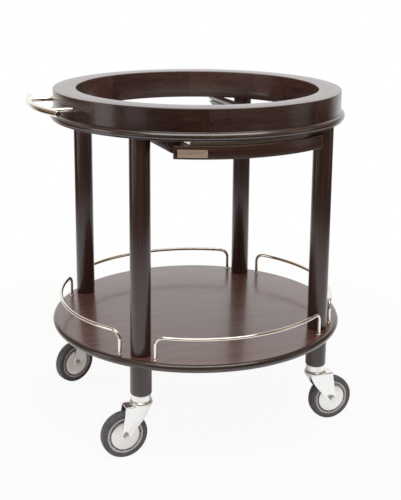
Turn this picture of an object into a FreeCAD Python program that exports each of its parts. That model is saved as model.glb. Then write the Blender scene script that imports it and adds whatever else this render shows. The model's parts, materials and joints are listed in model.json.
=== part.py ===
"""Round room service table: an open wooden ring on four posts, a round shelf, a pull-out tray,
a push handle and four swivel casters.

Millimetres, +Z up, the floor at Z = 0. The front, where the tray pulls out, faces -Y, and the
push handle faces -X. Everything is modelled about the ring's own axis and moved once, at the
end, so that the origin is the middle of the table's footprint.
"""
import FreeCAD, Part
import math
import os

from FreeCAD import Vector

# ---- driving dimensions -------------------------------------------------------------------
RING_R = 330.0             # outside of the ring's wall
RING_BORE_R = 278.0        # the opening that a dish, tray or dome drops into
RING_TOP = 772.0           # height of the table
WALL_H = 48.0              # upper course of the ring
MOULDING_H = 18.0          # lower course, with the nosing
MOULDING_R = 338.5
BAND = (3.5, 3.8)          # lower band of the moulding: set back from the nosing, and height
NOSE_R = 9.0               # rounding of the nosing above its quirk
NOSE_RISE = 8.5            # ring's underside to the middle of that rounding
NOSE_SPAN = (-30, 85)      # directions, in degrees, in which the rounding starts and ends
SHELF_R = 342.0
SHELF_TOP = 230.0
SHELF_T = 18.0
POST_R = 22.3
POST_PITCH_R = 303.0       # from the ring's axis to each post
LEG_R = 23.5
LEG_H = 71.0
STUD_R = 5.0               # threaded studs that join the posts
STUD_IN_WALL = 11.0
STUD_IN_POST = (29.0, 34.0)    # how far studs reach into a post's top and into its foot
STUD_IN_LEG = 33.0
FIT = 0.08                 # radial play of a stud, screw or rod in its hole
END_GAP = 1.0              # a blind hole is this much deeper than what it holds

GALLERY_ROD_R = 4.0
GALLERY_R = 322.0          # plan radius of each gallery rail
GALLERY_RISE = 51.0        # shelf top to the rail's centre line
GALLERY_BEND_R = 19.0
GALLERY_HALF_ANGLE = 34.1  # where each rail's arc meets its bends
ROD_IN_SHELF = 10.0
FERRULE_FOOT = (1.9, 1.2)  # reach past the rod and height of the ferrule's foot
FERRULE_TOP = (0.9, 2.4)   # the same at its top

HANDLE_R = 7.0
HANDLE_PLAN_R = 385.0
HANDLE_HALF_ANGLE = 20.0
HANDLE_DROP = 25.0         # ring top to the bar's centre line
STUB_R = 5.0
STUB_Y = 82.0
STUB_IN_WALL = 25.0
HANDLE_EDGE = 0.8

RAIL_IN_X = 140.0          # inner face of each tray rail
RAIL_W = 25.0
RAIL_H = 28.0
RAIL_FRONT_Y = -271.0
RAIL_REAR_Y = 262.0
RAIL_BEVEL = (42.0, 16.0)  # length and height cut off the rear lower corner
GROOVE_DEPTH = 8.5
GROOVE_H = 4.6
GROOVE_DROP = 6.6          # ring's underside to the top of the groove

BOARD_R = 336.5            # outside of the tray's curved front board
BOARD_T = 18.0
BOARD_HALF_ANGLE = 30.3
BOARD_GAP = 8.5            # ring's underside to the board's top edge
BOARD_H = 27.5

TRAY_X = 136.0             # half width over the tray's side walls
TRAY_REAR_Y = 128.0
TRAY_T = 1.5
TRAY_FLANGE_X = 147.4
TRAY_DEPTH = 19.5
TRAY_CORNER_R = 12.0
ROLL_R = 2.5               # rolled rim of the tray's front and rear walls
TRAY_TRAVEL = 300.0
EAR = (2.0, 12.0)          # thickness and drop of the tray's stop ears
EAR_GAP = 0.8              # between an ear and the rail's inner face
STOP_R = 2.0
STOP_REACH = 3.2           # how far a stop pin stands out of its rail
STOP_IN_RAIL = 7.0
STOP_OVER_EAR = 3.0        # an ear's lower edge to the pin's centre line
STOP_GAP = 0.5             # left between pin and ear with the tray pulled out
RAIL_SCREW_R = 2.0
RAIL_SCREW_HEAD = (4.2, 2.4)   # radius and height of the sunk head
RAIL_SCREW_IN = 14.0       # rail's inner face to its screws
RAIL_SCREWS = ((-262.0, 9.0), (-244.0, 9.0), (242.0, 18.0), (255.0, 18.0))    # y and sunk depth
RAIL_SCREW_BITE = 11.0     # thread in the ring
TRAY_SCREW_R = 1.75
TRAY_SCREW_HEAD = (3.6, 2.2)
TRAY_SCREW_ANGLES = (-108, -90, -72)
TRAY_SCREW_BITE = 11.0     # from the board's inner face
HEAD_CLEAR = 0.05          # a flat head's distance from the middle of the curved wall it meets
FLANGE_FRONT_GAP = 8.0     # tray's front corner to the front end of its flange
ROLL_SUNK = 0.6            # depth to which a rolled rim's lower side runs into its wall
ROLL_END_GAP = 4.0         # tray's side to the end of the front rim

PLATE_ANGLES = (-118.8, -108.5)
PLATE_T = 1.2
PLATE_H = 16.0
PLATE_DROP = 1.5           # below the middle of the board
PLATE_CORNER_R = 1.2
PLATE_SCREW_R = 1.0
PLATE_SCREW_HEAD = (2.3, 1.0)
PLATE_SCREW_INSET = 0.65   # degrees from the plate's ends
PLATE_SCREW_BITE = 7.0

WHEEL_R = 52.0
TYRE_HALF_W = 11.0
RIM_R = 41.6               # where the tyre meets the rim, at the middle of the wheel
RIM_HALF_W = 10.5
HUB_R = 9.0
HUB_HALF_W = 11.4
WEB_HALF_T = 3.0
GUARD_R = 32.2
GUARD_T = 1.0
GUARD_FLAT_R = 11.0        # flat middle of the guard's dish
TRAIL = 40.0               # swivel axis to axle, seen from above
FORK_T = 2.5
FORK_IN = 13.0             # half the gap between the fork's legs
FORK_TOP = 118.0
CROWN_R = 23.0             # round end of the fork's crown
CROWN_REAR_X = 39.0
LEG_END_R = 9.5            # round end of each fork leg, about the axle
AXLE_R = 4.0
BOLT_FLATS = 13.0
BOLT_HEAD_H = 5.3
NUT_H = 6.5
BOLT_TIP = 8.0             # thread that stands out past the washer
WASHER = (8.0, 1.2)        # radius and thickness
KINGPIN_R = 6.0
RIVET = (10.0, 3.2)        # radius and height of the kingpin's closed end
STEM_IN_LEG = 31.0
RUN_FIT = 0.05             # radial play of what turns on the kingpin or the axle bolt
HUB_FIT = 0.06
LIFT = 0.4                 # gap over and under the fork's crown
RACE_R = 25.5
COLLAR_R = 21.5
COLLAR_H = 16.0
COLLAR_FLANGE = (1.8, 1.7)     # reach past the collar and thickness

# each caster's post direction and the way its wheel trails, in degrees from +X
CASTERS = {
    "front_left": (225.0, 181.2),
    "front_right": (315.0, -1.4),
    "rear_left": (135.0, 200.4),
    "rear_right": (45.0, 32.0),
}

# ---- heights and places worked out from them ----------------------------------------------
WALL_FLOOR = RING_TOP - WALL_H
RING_FLOOR = WALL_FLOOR - MOULDING_H
SHELF_FLOOR = SHELF_TOP - SHELF_T
LEG_FLOOR = SHELF_FLOOR - LEG_H
BOARD_TOP = RING_FLOOR - BOARD_GAP
BOARD_IN_R = BOARD_R - BOARD_T
GROOVE_TOP = RING_FLOOR - GROOVE_DROP
FLANGE_FLOOR = GROOVE_TOP - (GROOVE_H + TRAY_T) / 2
TRAY_FLOOR = FLANGE_FLOOR + TRAY_T - TRAY_DEPTH
EAR_FRONT_Y = TRAY_REAR_Y - TRAY_CORNER_R - EAR[0]
AXIS_X = (HANDLE_PLAN_R + HANDLE_R - SHELF_R) / 2
UP = Vector(0, 0, 1)


# ---- shape helpers ------------------------------------------------------------------------
def polar(radius, degrees, z=0.0):
    turn = math.radians(degrees)
    return Vector(radius * math.cos(turn), radius * math.sin(turn), z)


def outline(points, plane="xz"):
    """Closed face from 2-D points. A point given as a pair of points is an arc's middle and end."""
    def place(p):
        return Vector(p[0], 0, p[1]) if plane == "xz" else Vector(p[0], p[1], 0)

    edges = []
    here = place(points[0])
    for step in list(points[1:]) + [points[0]]:
        if isinstance(step[0], tuple):
            end = place(step[1])
            edges.append(Part.Arc(here, place(step[0]), end).toShape())
        else:
            end = place(step)
            if end.isEqual(here, 1e-6):
                continue
            edges.append(Part.LineSegment(here, end).toShape())
        here = end
    return Part.Face(Part.Wire(edges))


def turned(points):
    """Solid of revolution about Z from an outline of (radius, height) points."""
    return outline(points).revolve(Vector(0, 0, 0), UP, 360)


def rounded(centre, radius, start, end):
    """Middle and end of an arc of an outline, from its centre and two directions in degrees."""
    middle = (start + end) / 2
    return tuple((centre[0] + radius * math.cos(math.radians(a)),
                  centre[1] + radius * math.sin(math.radians(a))) for a in (middle, end))


def rod(radius, start, end):
    axis = end.sub(start)
    return Part.makeCylinder(radius, axis.Length, start, axis)


def sector(inner, outer, half_angle, floor, top, facing):
    """Part of a round wall, centred on the direction FACING."""
    face = Part.Face(Part.Wire([
        Part.Arc(polar(outer, facing - half_angle), polar(outer, facing),
                 polar(outer, facing + half_angle)).toShape(),
        Part.LineSegment(polar(outer, facing + half_angle),
                         polar(inner, facing + half_angle)).toShape(),
        Part.Arc(polar(inner, facing + half_angle), polar(inner, facing),
                 polar(inner, facing - half_angle)).toShape(),
        Part.LineSegment(polar(inner, facing - half_angle),
                         polar(outer, facing - half_angle)).toShape(),
    ]))
    face.translate(Vector(0, 0, floor))
    return face.extrude(Vector(0, 0, top - floor))


def swept(radius, edges):
    """Round bar along a path whose first edge starts the bar."""
    path = Part.Wire(edges)
    start = path.OrderedEdges[0]
    origin = start.valueAt(start.FirstParameter)
    along = start.tangentAt(start.FirstParameter)
    ring = Part.Wire(Part.Circle(origin, along, radius).toShape())
    return path.makePipeShell([ring], True, False)


def mirrored_pair(shape, normal):
    return [shape, shape.mirror(Vector(0, 0, 0), normal)]


def post_places(z):
    return [polar(POST_PITCH_R, direction, z) for direction, _ in CASTERS.values()]


def screw(head, tip, shank_r, head_r, head_h, countersunk=False):
    """Screw from the outer face of its head to its tip."""
    along = tip.sub(head).normalize()
    neck = head + along * head_h
    far_r = shank_r if countersunk else head_r
    near_r = head_r if countersunk else head_r * 0.8
    top = Part.makeCone(near_r, far_r, head_h, head, along)
    return top.fuse(rod(shank_r, neck, tip)).removeSplitter()


# ---- the ring -----------------------------------------------------------------------------
def rail_screw_lines():
    """Head and tip of each screw that holds a tray rail under the ring."""
    x = RAIL_IN_X + RAIL_SCREW_IN
    floor = RING_FLOOR - RAIL_H
    tip_z = RING_FLOOR + RAIL_SCREW_BITE
    return [(Vector(side * x, y, floor + sunk), Vector(side * x, y, tip_z))
            for side in (-1, 1) for y, sunk in RAIL_SCREWS]


def ring_wall():
    edge = 2.0
    wall = turned([
        (RING_BORE_R, WALL_FLOOR), (RING_R, WALL_FLOOR), (RING_R, RING_TOP - edge),
        rounded((RING_R - edge, RING_TOP - edge), edge, 0, 90),
        (RING_BORE_R + edge, RING_TOP),
        rounded((RING_BORE_R + edge, RING_TOP - edge), edge, 90, 180),
    ])
    for place in post_places(WALL_FLOOR):
        wall = wall.cut(rod(STUD_R + FIT, place, place + UP * (STUD_IN_WALL + END_GAP)))
    for start, end in stub_lines():
        wall = wall.cut(rod(STUB_R + FIT, start, end))
    return wall


def ring_moulding():
    """Lower course of the ring: a flat band, a quirk, and a broad rounded nosing up to the wall."""
    band_r = MOULDING_R - BAND[0]
    band_top = RING_FLOOR + BAND[1]
    edge = 1.0
    nose = (MOULDING_R - NOSE_R, RING_FLOOR + NOSE_RISE)
    low = rounded(nose, NOSE_R, NOSE_SPAN[0], NOSE_SPAN[0])[1]
    moulding = turned([
        (RING_BORE_R, RING_FLOOR), (band_r - edge, RING_FLOOR),
        rounded((band_r - edge, RING_FLOOR + edge), edge, -90, 0),
        (band_r, band_top), (low[0], band_top), low, rounded(nose, NOSE_R, *NOSE_SPAN),
        (RING_R, WALL_FLOOR), (RING_BORE_R, WALL_FLOOR),
    ])
    for place in post_places(RING_FLOOR):
        moulding = moulding.cut(rod(STUD_R + FIT, place, place + UP * MOULDING_H))
    for _, tip in rail_screw_lines():
        start = Vector(tip.x, tip.y, RING_FLOOR)
        moulding = moulding.cut(rod(RAIL_SCREW_R + FIT, start, tip + UP * END_GAP))
    return moulding


# ---- posts, shelf and legs ----------------------------------------------------------------
def post(direction):
    edge = 1.5
    body = turned([
        (0, SHELF_TOP), (POST_R - edge, SHELF_TOP), (POST_R, SHELF_TOP + edge),
        (POST_R, RING_FLOOR - edge), (POST_R - edge, RING_FLOOR), (0, RING_FLOOR),
    ])
    top_hole, foot_hole = (depth + END_GAP for depth in STUD_IN_POST)
    body = body.cut(rod(STUD_R + FIT, UP * (RING_FLOOR - top_hole), UP * RING_FLOOR))
    body = body.cut(rod(STUD_R + FIT, UP * SHELF_TOP, UP * (SHELF_TOP + foot_hole)))
    return body.translated(polar(POST_PITCH_R, direction))


def shelf():
    edge = SHELF_T / 2
    disc = turned([
        (0, SHELF_FLOOR), (SHELF_R - edge, SHELF_FLOOR),
        rounded((SHELF_R - edge, SHELF_FLOOR + edge), edge, -90, 90), (0, SHELF_TOP),
    ])
    for place in post_places(SHELF_FLOOR):
        disc = disc.cut(rod(STUD_R + FIT, place, place + UP * SHELF_T))
    for place in gallery_feet():
        disc = disc.cut(rod(GALLERY_ROD_R + FIT, place - UP * (ROD_IN_SHELF + END_GAP), place))
    return disc


def leg(direction):
    edge, top_edge = 3.0, 1.0
    body = turned([
        (0, LEG_FLOOR), (LEG_R - edge, LEG_FLOOR),
        rounded((LEG_R - edge, LEG_FLOOR + edge), edge, -90, 0),
        (LEG_R, SHELF_FLOOR - top_edge), (LEG_R - top_edge, SHELF_FLOOR), (0, SHELF_FLOOR),
    ])
    stud_hole, stem_hole = STUD_IN_LEG + END_GAP, STEM_IN_LEG + END_GAP
    body = body.cut(rod(STUD_R + FIT, UP * (SHELF_FLOOR - stud_hole), UP * SHELF_FLOOR))
    body = body.cut(rod(KINGPIN_R + FIT, UP * LEG_FLOOR, UP * (LEG_FLOOR + stem_hole)))
    return body.translated(polar(POST_PITCH_R, direction))


def ring_studs():
    return [rod(STUD_R, place - UP * STUD_IN_POST[0], place + UP * (MOULDING_H + STUD_IN_WALL))
            for place in post_places(RING_FLOOR)]


def shelf_studs():
    return [rod(STUD_R, place - UP * STUD_IN_LEG, place + UP * (SHELF_T + STUD_IN_POST[1]))
            for place in post_places(SHELF_FLOOR)]


# ---- gallery rails ------------------------------------------------------------------------
def gallery_ends(facing):
    """For both ends of a rail: where its arc ends, and the direction from there to its leg."""
    for side in (-1, 1):
        angle = facing + side * GALLERY_HALF_ANGLE
        yield side, polar(GALLERY_R, angle), polar(1, angle + side * 90)


def gallery_feet():
    feet = []
    for facing in (-90, 0, 90, 180):
        for _, arc_end, outward in gallery_ends(facing):
            feet.append(arc_end + outward * GALLERY_BEND_R + UP * SHELF_TOP)
    return feet


def gallery_rail(facing):
    """One rod: a leg, a bend, the arc over the shelf's edge, a bend and a leg."""
    crown = UP * (SHELF_TOP + GALLERY_RISE)
    bend = GALLERY_BEND_R
    ends = []
    for side, arc_end, outward in gallery_ends(facing):
        foot = arc_end + outward * bend + UP * (SHELF_TOP - ROD_IN_SHELF)
        spring = arc_end + outward * bend + crown - UP * bend
        middle = arc_end + crown + (outward * math.sin(math.pi / 4) - UP) * bend
        middle = middle + UP * bend * math.sin(math.pi / 4)
        ends.append((foot, spring, middle, arc_end + crown))
    first, last = ends
    return swept(GALLERY_ROD_R, [
        Part.LineSegment(first[0], first[1]).toShape(),
        Part.Arc(first[1], first[2], first[3]).toShape(),
        Part.Arc(first[3], polar(GALLERY_R, facing) + crown, last[3]).toShape(),
        Part.Arc(last[3], last[2], last[1]).toShape(),
        Part.LineSegment(last[1], last[0]).toShape(),
    ])


def gallery_ferrules():
    bore = GALLERY_ROD_R + FIT
    foot_r, foot_h = GALLERY_ROD_R + FERRULE_FOOT[0], FERRULE_FOOT[1]
    top_r, top_h = GALLERY_ROD_R + FERRULE_TOP[0], FERRULE_TOP[1]
    ferrule = turned([(bore, 0), (foot_r, 0), (foot_r, foot_h), (top_r, top_h), (bore, top_h)])
    return [ferrule.translated(foot) for foot in gallery_feet()]


# ---- push handle --------------------------------------------------------------------------
def handle_bar():
    z = RING_TOP - HANDLE_DROP
    arc = Part.Arc(polar(HANDLE_PLAN_R, 180 - HANDLE_HALF_ANGLE, z), polar(HANDLE_PLAN_R, 180, z),
                   polar(HANDLE_PLAN_R, 180 + HANDLE_HALF_ANGLE, z))
    bar = swept(HANDLE_R, [arc.toShape()])
    ends = [e for e in bar.Edges if abs(e.Length - 2 * math.pi * HANDLE_R) < 0.5 and e.isClosed()]
    return bar.makeChamfer(HANDLE_EDGE, ends)


def stub_lines():
    """Start, in the ring's wall, and end, at the bar's centre, of each handle stub."""
    z = RING_TOP - HANDLE_DROP
    inner_x = -math.sqrt(RING_R ** 2 - STUB_Y ** 2) + STUB_IN_WALL
    bar_x = -math.sqrt(HANDLE_PLAN_R ** 2 - STUB_Y ** 2)
    return [(Vector(inner_x, y, z), Vector(bar_x, y, z)) for y in (-STUB_Y, STUB_Y)]


def handle_stubs():
    bar = handle_bar()
    return [rod(STUB_R, start, end).cut(bar) for start, end in stub_lines()]


# ---- pull-out tray ------------------------------------------------------------------------
def tray_rail(side):
    """Wooden rail under the ring, grooved for the tray's flange and bevelled at its rear."""
    long_cut, high_cut = RAIL_BEVEL
    floor = RING_FLOOR - RAIL_H
    face = Part.Face(Part.makePolygon([Vector(RAIL_IN_X, y, z) for y, z in (
        (RAIL_FRONT_Y, floor), (RAIL_REAR_Y - long_cut, floor), (RAIL_REAR_Y, floor + high_cut),
        (RAIL_REAR_Y, RING_FLOOR), (RAIL_FRONT_Y, RING_FLOOR), (RAIL_FRONT_Y, floor))]))
    rail = face.extrude(Vector(RAIL_W, 0, 0))
    groove = Part.makeBox(GROOVE_DEPTH, RAIL_REAR_Y - RAIL_FRONT_Y, GROOVE_H,
                          Vector(RAIL_IN_X, RAIL_FRONT_Y, GROOVE_TOP - GROOVE_H))
    rail = rail.cut(groove)
    shank_r = RAIL_SCREW_R + FIT
    sink_r = RAIL_SCREW_HEAD[0] + FIT
    for head, tip in rail_screw_lines():
        if head.x > 0:
            rail = rail.cut(rod(sink_r, Vector(head.x, head.y, floor), head))
            rail = rail.cut(Part.makeCone(sink_r, shank_r, RAIL_SCREW_HEAD[1], head, UP))
            rail = rail.cut(rod(shank_r, head, tip))
    stop, _ = stop_line()
    rail = rail.cut(rod(STOP_R + FIT, stop, stop + Vector(STOP_IN_RAIL + END_GAP, 0, 0)))
    return rail if side > 0 else rail.mirror(Vector(0, 0, 0), Vector(1, 0, 0))


def rail_screws():
    head_r, head_h = RAIL_SCREW_HEAD
    return [screw(head, tip, RAIL_SCREW_R, head_r, head_h, countersunk=True)
            for head, tip in rail_screw_lines()]


def stop_line():
    """Wall end and inner end of the pin that stops the tray's rear ear."""
    y = EAR_FRONT_Y - TRAY_TRAVEL - STOP_R - STOP_GAP
    z = FLANGE_FLOOR - EAR[1] + STOP_OVER_EAR
    return Vector(RAIL_IN_X, y, z), Vector(RAIL_IN_X - STOP_REACH, y, z)


def tray_stops():
    start, end = stop_line()
    return mirrored_pair(rod(STOP_R, start + Vector(STOP_IN_RAIL, 0, 0), end), Vector(1, 0, 0))


def tray_plan(inset, floor, top):
    """The tray's outline in plan: straight sides, a front that follows the board, round corners."""
    x = TRAY_X - inset
    rear = TRAY_REAR_Y - inset
    arc_r = BOARD_IN_R - inset
    corner = TRAY_CORNER_R - inset
    front_y = -math.sqrt(arc_r ** 2 - x ** 2)
    face = outline([
        (x, front_y), (x, rear - corner),
        rounded((x - corner, rear - corner), corner, 0, 90), (corner - x, rear),
        rounded((corner - x, rear - corner), corner, 90, 180), (-x, front_y),
        ((0, -arc_r), (x, front_y)),
    ], plane="xy")
    face.translate(Vector(0, 0, floor))
    return face.extrude(Vector(0, 0, top - floor))


def tray_screw_lines():
    """Head, inside the tray's front wall, and tip, in the board, of each screw."""
    z = TRAY_FLOOR + TRAY_DEPTH / 2
    head_r = BOARD_IN_R - TRAY_T - TRAY_SCREW_HEAD[1] - HEAD_CLEAR
    return [(polar(head_r, angle, z), polar(BOARD_IN_R + TRAY_SCREW_BITE, angle, z))
            for angle in TRAY_SCREW_ANGLES]


def tray_pan():
    top = FLANGE_FLOOR + TRAY_T
    pan = tray_plan(0, TRAY_FLOOR, top).cut(tray_plan(TRAY_T, TRAY_FLOOR + TRAY_T, top + 1))
    front_y = -math.sqrt(BOARD_IN_R ** 2 - TRAY_X ** 2) + FLANGE_FRONT_GAP
    flange_x = TRAY_X - TRAY_T
    length = TRAY_REAR_Y - TRAY_CORNER_R - front_y
    flange = Part.makeBox(TRAY_FLANGE_X - flange_x, length, TRAY_T,
                          Vector(flange_x, front_y, FLANGE_FLOOR))
    ear_x = RAIL_IN_X - EAR_GAP
    ear = Part.makeBox(ear_x - flange_x, EAR[0], EAR[1],
                       Vector(flange_x, EAR_FRONT_Y, FLANGE_FLOOR - EAR[1]))
    for piece in mirrored_pair(flange, Vector(1, 0, 0)) + mirrored_pair(ear, Vector(1, 0, 0)):
        pan = pan.fuse(piece)
    roll_z = top + ROLL_R - ROLL_SUNK
    roll_r = BOARD_IN_R - ROLL_R
    half = math.degrees(math.asin((TRAY_X - ROLL_END_GAP) / roll_r))
    front_roll = swept(ROLL_R, [Part.Arc(
        polar(roll_r, -90 - half, roll_z), polar(roll_r, -90, roll_z),
        polar(roll_r, -90 + half, roll_z)).toShape()])
    rear_x = TRAY_X - TRAY_CORNER_R
    rear_y = TRAY_REAR_Y - ROLL_R
    rear_roll = rod(ROLL_R, Vector(-rear_x, rear_y, roll_z), Vector(rear_x, rear_y, roll_z))
    pan = pan.fuse(front_roll).fuse(rear_roll)
    for head, tip in tray_screw_lines():
        pan = pan.cut(rod(TRAY_SCREW_R + FIT, head, tip))
    return pan.removeSplitter()


def tray_board():
    board = sector(BOARD_IN_R, BOARD_R, BOARD_HALF_ANGLE, BOARD_TOP - BOARD_H, BOARD_TOP, -90)
    edge = 1.5
    middle = BOARD_TOP - BOARD_H / 2
    rims = [e for e in board.Edges if abs(abs(e.CenterOfMass.z - middle) - BOARD_H / 2) < 0.1]
    board = board.makeFillet(edge, rims)
    for head, tip in tray_screw_lines():
        board = board.cut(rod(TRAY_SCREW_R + FIT, head, tip))
    for head, tip in plate_screw_lines():
        board = board.cut(rod(PLATE_SCREW_R + FIT, head, tip))
    return board


def tray_screws():
    return [screw(head, tip, TRAY_SCREW_R, *TRAY_SCREW_HEAD) for head, tip in tray_screw_lines()]


# ---- bare plate on the board --------------------------------------------------------------
def plate_z():
    return BOARD_TOP - BOARD_H / 2 - PLATE_DROP


def plate_screw_lines():
    """Head and tip of the two small screws at the plate's ends."""
    head_r = BOARD_R + PLATE_T + PLATE_SCREW_HEAD[1]
    tip_r = BOARD_R - PLATE_SCREW_BITE
    return [(polar(head_r, angle, plate_z()), polar(tip_r, angle, plate_z()))
            for angle in (PLATE_ANGLES[0] + PLATE_SCREW_INSET, PLATE_ANGLES[1] - PLATE_SCREW_INSET)]


def front_plate():
    middle = sum(PLATE_ANGLES) / 2
    half = (PLATE_ANGLES[1] - PLATE_ANGLES[0]) / 2
    plate = sector(BOARD_R, BOARD_R + PLATE_T, half, plate_z() - PLATE_H / 2,
                   plate_z() + PLATE_H / 2, middle)
    corners = [e for e in plate.Edges if abs(e.Length - PLATE_T) < 0.01]
    plate = plate.makeFillet(PLATE_CORNER_R, corners)
    for head, tip in plate_screw_lines():
        plate = plate.cut(rod(PLATE_SCREW_R + FIT, head, tip))
    return plate


def plate_screws():
    return [screw(head, tip, PLATE_SCREW_R, *PLATE_SCREW_HEAD) for head, tip in plate_screw_lines()]


# ---- casters, built on their swivel axis and trailing along +X ----------------------------
def axle_rod(radius, start_y, end_y):
    return rod(radius, Vector(TRAIL, start_y, WHEEL_R), Vector(TRAIL, end_y, WHEEL_R))


def on_axle(points):
    """Solid turned about the axle from (radius, distance from the wheel's middle plane)."""
    solid = turned(points)
    solid.rotate(Vector(0, 0, 0), Vector(1, 0, 0), -90)
    return solid.translated(Vector(TRAIL, 0, WHEEL_R))


def caster_stem():
    """Flanged collar under the leg, the stem above it and the kingpin riveted under the fork."""
    collar_floor = LEG_FLOOR - COLLAR_H
    rivet_r, rivet_h = RIVET
    rivet_top = FORK_TOP - FORK_T - LIFT
    rivet_floor = rivet_top - rivet_h
    reach, flange_t = COLLAR_FLANGE
    flange_r = COLLAR_R + reach
    flange_top = collar_floor + flange_t
    ease = flange_t / 2
    root, collar_edge, stem_edge = 0.6, 1.2, 1.5
    stem_top = LEG_FLOOR + STEM_IN_LEG
    return turned([
        (0, rivet_floor), (0.75 * rivet_r, rivet_floor),
        ((0.96 * rivet_r, rivet_floor + 0.4 * rivet_h), (rivet_r, rivet_top)),
        (KINGPIN_R, rivet_top), (KINGPIN_R, collar_floor), (flange_r - ease, collar_floor),
        rounded((flange_r - ease, collar_floor + ease), ease, -90, 90),
        (COLLAR_R + root, flange_top), (COLLAR_R, flange_top + root),
        (COLLAR_R, LEG_FLOOR - collar_edge), (COLLAR_R - collar_edge, LEG_FLOOR),
        (KINGPIN_R, LEG_FLOOR), (KINGPIN_R, stem_top - stem_edge),
        (KINGPIN_R - stem_edge, stem_top), (0, stem_top),
    ])


def swivel_race():
    """Pressed cup that holds the swivel's balls, between the collar and the fork."""
    floor = FORK_TOP + LIFT
    top = LEG_FLOOR - COLLAR_H
    height = top - floor
    bore = KINGPIN_R + RUN_FIT
    lip, shoulder, lean = 1.5, 1.4, 4.2
    return turned([
        (bore, floor), (RACE_R - lip, floor), rounded((RACE_R - lip, floor + lip), lip, -90, 0),
        (RACE_R, floor + height / 3), ((RACE_R - shoulder, floor + 2 * height / 3), (RACE_R - lean, top)),
        (bore, top),
    ])


def fork_leg():
    """One leg of the fork: straight behind, curved in front, and round about the axle."""
    out = FORK_IN + FORK_T
    shoulder = (-math.sqrt(CROWN_R ** 2 - out ** 2), FORK_TOP - FORK_T - 1.0)
    brow, slope_start = (-6.5, 93.0), (4.0, 79.5)
    toe, foot, heel = ((TRAIL + LEG_END_R * math.cos(math.radians(a)),
                        WHEEL_R + LEG_END_R * math.sin(math.radians(a))) for a in (-141, -78, 7))
    side = outline([
        (shoulder[0], FORK_TOP), shoulder, (brow, slope_start), toe, (foot, heel),
        (CROWN_REAR_X, FORK_TOP),
    ])
    return side.extrude(Vector(0, FORK_T, 0)).translated(Vector(0, FORK_IN, 0))


def long_edges(shape, y, z):
    """The shape's long edges at a height and at a distance from its middle plane."""
    shortest = 20.0
    return [e for e in shape.Edges if abs(e.CenterOfMass.z - z) < 0.01
            and abs(abs(e.CenterOfMass.y) - y) < 0.01 and e.Length > shortest]


def caster_fork():
    """Pressed fork: a crown plate, round about the kingpin, and two tapered legs."""
    out = FORK_IN + FORK_T
    inside_r = 1.0
    plate_floor = FORK_TOP - FORK_T
    fork = Part.makeBox(CROWN_REAR_X, 2 * out, FORK_T, Vector(0, -out, plate_floor))
    fork = fork.fuse(Part.makeCylinder(CROWN_R, FORK_T, UP * plate_floor))
    for plate in mirrored_pair(fork_leg(), Vector(0, 1, 0)):
        fork = fork.fuse(plate)
    fork = fork.removeSplitter()
    fork = fork.makeFillet(FORK_T, long_edges(fork, out, FORK_TOP))
    fork = fork.makeFillet(inside_r, long_edges(fork, FORK_IN, plate_floor))
    fork = fork.cut(rod(KINGPIN_R + RUN_FIT, UP * plate_floor, UP * FORK_TOP))
    return fork.cut(axle_rod(AXLE_R + RUN_FIT, -out, out))


def hexagon(across_flats, start_y, end_y):
    """Six-sided block along the axle with its corners turned off at both ends."""
    corner = across_flats / math.sqrt(3)
    points = [Vector(TRAIL + corner * math.cos(math.radians(a)), start_y,
                     WHEEL_R + corner * math.sin(math.radians(a))) for a in range(0, 420, 60)]
    block = Part.Face(Part.makePolygon(points)).extrude(Vector(0, end_y - start_y, 0))
    face_r, side_r, edge = corner - 1.1, corner + 0.3, 1.0
    lens = on_axle([(0, start_y), (face_r, start_y), (side_r, start_y + edge),
                    (side_r, end_y - edge), (face_r, end_y), (0, end_y)])
    return block.common(lens)


def axle_bolt():
    """Bolt through both legs, with a washer at each side and a nut on its tip."""
    out = FORK_IN + FORK_T
    washer_r, washer_t = WASHER
    seat = out + washer_t
    head = hexagon(BOLT_FLATS, -seat - BOLT_HEAD_H, -seat)
    bolt = head.fuse(axle_rod(AXLE_R, -seat - BOLT_HEAD_H / 2, seat + BOLT_TIP))
    nut = hexagon(BOLT_FLATS, seat, seat + NUT_H).cut(axle_rod(AXLE_R, seat, seat + NUT_H))
    bore = AXLE_R + RUN_FIT
    washer = on_axle([(bore, out), (washer_r, out), (washer_r, seat), (bore, seat)])
    return [bolt.removeSplitter(), nut] + mirrored_pair(washer, Vector(0, 1, 0))


def thread_guards():
    """Dished metal discs that cover the hub, one inside each fork leg."""
    bore = AXLE_R + RUN_FIT
    dish, turn_in = 1.4, 2.2
    rim_r = GUARD_R - turn_in
    guard = on_axle([
        (bore, FORK_IN - GUARD_T), (GUARD_FLAT_R, FORK_IN - GUARD_T),
        (rim_r, FORK_IN - dish - GUARD_T), (GUARD_R - 0.6, FORK_IN - 2 * dish - 0.8),
        (GUARD_R, FORK_IN - 2 * dish), (rim_r, FORK_IN - dish),
        (GUARD_FLAT_R, FORK_IN), (bore, FORK_IN),
    ])
    return mirrored_pair(guard, Vector(0, 1, 0))


def wheel_hub():
    """Hub with a bore, a thin web and a rim whose sides show as a pale line inside the tyre."""
    half = [
        (AXLE_R + HUB_FIT, HUB_HALF_W), (HUB_R, HUB_HALF_W), (HUB_R + 0.6, HUB_HALF_W - 2.4),
        (HUB_R + 3.5, WEB_HALF_T + 2.0), (HUB_R + 5.0, WEB_HALF_T),
        (RIM_R - 8.0, WEB_HALF_T), (RIM_R - 6.0, WEB_HALF_T + 2.0), (RIM_R - 5.6, RIM_HALF_W - 0.6),
        (RIM_R - 4.8, RIM_HALF_W), (RIM_R - 2.0, RIM_HALF_W), (RIM_R - 1.2, RIM_HALF_W - 0.5),
        (RIM_R, RIM_HALF_W - 1.9),
    ]
    return on_axle(half + [(radius, -width) for radius, width in reversed(half)])


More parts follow.
